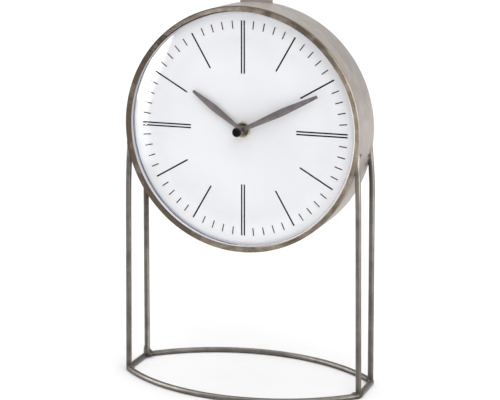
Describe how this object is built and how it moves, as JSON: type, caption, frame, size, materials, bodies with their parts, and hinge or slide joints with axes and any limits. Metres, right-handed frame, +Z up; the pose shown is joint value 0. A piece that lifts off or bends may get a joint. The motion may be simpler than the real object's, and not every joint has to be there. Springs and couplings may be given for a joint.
{
  "type": "table clock",
  "caption": "Round drum-cased quartz table clock with a domed glass, held between slim rod legs on a boat-shaped base ring.",
  "frame": {"origin": "middle of the base ring's footprint, at the height of the surface that the clock stands on", "axes": "+Z up, the dial faces -Y, +X to the right of someone who reads the dial"},
  "size_m": [0.2122, 0.1278, 0.3384],
  "materials": {
    "case_metal": "aged satin nickel plate",
    "bezel_metal": "darkened satin nickel plate",
    "rod_metal": "aged dark nickel plate",
    "glass": "clear and polished",
    "dial_white": "matte white with black printed marks",
    "ring_white": "matte off-white",
    "hardboard": "pressed brown hardboard",
    "hand_metal": "aged pewter",
    "nut_brass": "dull brass",
    "black_plastic": "moulded black",
    "white_nylon": "moulded off-white",
    "zinc_steel": "zinc plated",
    "stator_iron": "bare soft iron",
    "rotor_magnet": "dark sintered magnet",
    "copper_wire": "enamelled copper wire",
    "board_green": "green solder mask",
    "contact_metal": "nickel plated strip",
    "black_rubber": "matte black",
    "battery_wrap": "plain printed film over a steel can"
  },
  "bodies": {
    "case_and_stand": {"base_ring": "rod_metal", "bezel_ring": "bezel_metal", "brass_nut": "nut_brass", "circuit_board": "board_green", "coil_bobbin": "white_nylon", "coil_winding": "copper_wire", "contact_negative": "contact_metal", "contact_positive": "contact_metal", "cover_post_1": "zinc_steel", "cover_post_2": "zinc_steel", "cover_post_3": "zinc_steel", "cover_post_4": "zinc_steel", "cover_screw_1": "zinc_steel", "cover_screw_2": "zinc_steel", "cover_screw_3": "zinc_steel", "cover_screw_4": "zinc_steel", "dial_backing": "hardboard", "dial_plate": "dial_white", "dome_glass": "glass", "drum_shell": "case_metal", "hanger_tab": "case_metal", "inner_ring": "ring_white", "leg_front_left": "rod_metal", "leg_front_right": "rod_metal", "leg_rear_left": "rod_metal", "leg_rear_right": "rod_metal", "movement_case": "black_plastic", "movement_cover": "black_plastic", "quartz_crystal": "zinc_steel", "rear_cover": "case_metal", "rubber_washer": "black_rubber", "stator": "stator_iron", "threaded_bush": "nut_brass"},
    "minute_group": {"minute_arbor": "nut_brass", "minute_hand": "hand_metal", "minute_collar": "hand_metal", "arbor_cap": "black_plastic"},
    "hour_group": {"hour_wheel": "white_nylon", "hour_hand": "hand_metal"},
    "setting_group": {"minute_wheel": "white_nylon", "time_set_knob": "black_plastic"},
    "rotor_group": {"rotor": "rotor_magnet"},
    "intermediate_group": {"intermediate_wheel": "white_nylon"},
    "seconds_group": {"seconds_wheel": "white_nylon"},
    "third_group": {"third_wheel": "white_nylon"},
    "centre_wheel_group": {"centre_wheel": "white_nylon"},
    "battery_group": {"battery": "battery_wrap"}
  },
  "joints": [
    {"name": "minute_spin", "type": "hinge", "parent": "case_and_stand", "child": "minute_group", "pos_m": [0, 0, 0.2164], "axis": [0, 1, 0], "continuous": true},
    {"name": "hour_spin", "type": "hinge", "parent": "case_and_stand", "child": "hour_group", "pos_m": [0, 0, 0.2164], "axis": [0, 1, 0], "continuous": true},
    {"name": "setting_spin", "type": "hinge", "parent": "case_and_stand", "child": "setting_group", "pos_m": [-0.00933, 0, 0.2189], "axis": [0, 1, 0], "continuous": true},
    {"name": "rotor_spin", "type": "hinge", "parent": "case_and_stand", "child": "rotor_group", "pos_m": [0.01249, 0, 0.22299], "axis": [0, 1, 0], "continuous": true},
    {"name": "intermediate_spin", "type": "hinge", "parent": "case_and_stand", "child": "intermediate_group", "pos_m": [0.00898, 0, 0.21881], "axis": [0, 1, 0], "continuous": true},
    {"name": "seconds_spin", "type": "hinge", "parent": "case_and_stand", "child": "seconds_group", "pos_m": [0, 0, 0.2164], "axis": [0, 1, 0], "continuous": true},
    {"name": "third_spin", "type": "hinge", "parent": "case_and_stand", "child": "third_group", "pos_m": [0, 0, 0.22537], "axis": [0, 1, 0], "continuous": true},
    {"name": "centre_wheel_spin", "type": "hinge", "parent": "case_and_stand", "child": "centre_wheel_group", "pos_m": [0, 0, 0.2164], "axis": [0, 1, 0], "continuous": true},
    {"name": "battery_removal", "type": "slide", "parent": "case_and_stand", "child": "battery_group", "axis": [0, 1, 0], "range_m": [0, 0.045]}
  ],
  "couplings": [
    {"joint": "hour_spin", "follows": "minute_spin", "ratio": 0.083333},
    {"joint": "setting_spin", "follows": "minute_spin", "ratio": -0.33333},
    {"joint": "intermediate_spin", "follows": "rotor_spin", "ratio": -0.2},
    {"joint": "seconds_spin", "follows": "rotor_spin", "ratio": 0.033333},
    {"joint": "third_spin", "follows": "rotor_spin", "ratio": -0.0044444},
    {"joint": "centre_wheel_spin", "follows": "rotor_spin", "ratio": 0.00055556}
  ]
}
